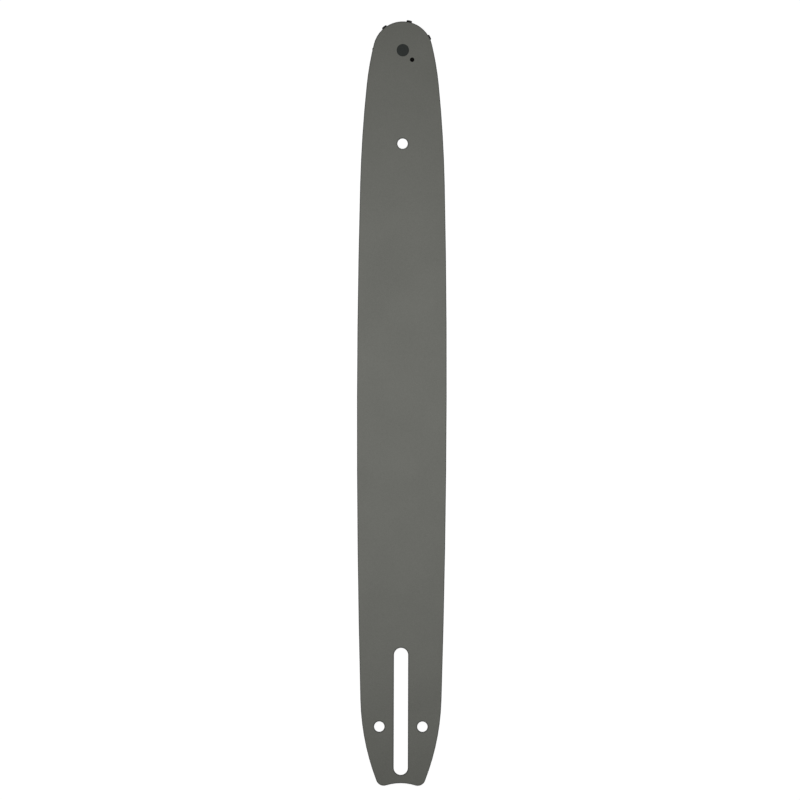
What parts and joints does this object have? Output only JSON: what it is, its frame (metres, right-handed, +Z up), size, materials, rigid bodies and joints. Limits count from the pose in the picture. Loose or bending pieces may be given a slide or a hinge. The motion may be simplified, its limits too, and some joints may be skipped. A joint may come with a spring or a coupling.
{
  "type": "chainsaw guide bar",
  "caption": "Flat laminated steel guide bar for a chainsaw, with a chain groove round its edge, a turning toothed sprocket in its round nose, and a stud slot and tensioner holes at its tail.",
  "frame": {"origin": "centre of the stud slot, on the rear face that the bar lies on", "axes": "+Y along the bar towards the nose, +X to the right seen from the front, +Z up out of the front face"},
  "size_m": [0.052, 0.4441, 0.0042],
  "materials": {
    "painted_plate": "satin grey paint",
    "core_steel": "ground steel",
    "sprocket_steel": "blackened hardened steel",
    "rivet_steel": "dark pressed steel",
    "bearing_steel": "ground bearing steel"
  },
  "bodies": {
    "bar": {"front_side_plate": "painted_plate", "rear_side_plate": "painted_plate", "core_plate": "core_steel", "bearing_inner_ring": "bearing_steel", "nose_rivet": "rivet_steel"},
    "sprocket": {"nose_sprocket": "sprocket_steel"},
    "roller_set": {"bearing_roller_01": "bearing_steel", "bearing_roller_02": "bearing_steel", "bearing_roller_03": "bearing_steel", "bearing_roller_04": "bearing_steel", "bearing_roller_05": "bearing_steel", "bearing_roller_06": "bearing_steel", "bearing_roller_07": "bearing_steel", "bearing_roller_08": "bearing_steel", "bearing_roller_09": "bearing_steel", "bearing_roller_10": "bearing_steel", "bearing_roller_11": "bearing_steel", "bearing_roller_12": "bearing_steel", "bearing_roller_13": "bearing_steel", "bearing_roller_14": "bearing_steel", "bearing_roller_15": "bearing_steel", "bearing_roller_16": "bearing_steel", "bearing_roller_17": "bearing_steel", "bearing_roller_18": "bearing_steel", "bearing_roller_19": "bearing_steel", "bearing_roller_20": "bearing_steel"}
  },
  "joints": [
    {"name": "sprocket_spin", "type": "hinge", "parent": "bar", "child": "sprocket", "pos_m": [0, 0.3835, 0.0021], "axis": [0, 0, 1], "continuous": true},
    {"name": "roller_orbit", "type": "hinge", "parent": "bar", "child": "roller_set", "pos_m": [0, 0.3835, 0.0021], "axis": [0, 0, 1], "continuous": true}
  ],
  "couplings": [
    {"joint": "roller_orbit", "follows": "sprocket_spin", "ratio": 0.57792}
  ]
}
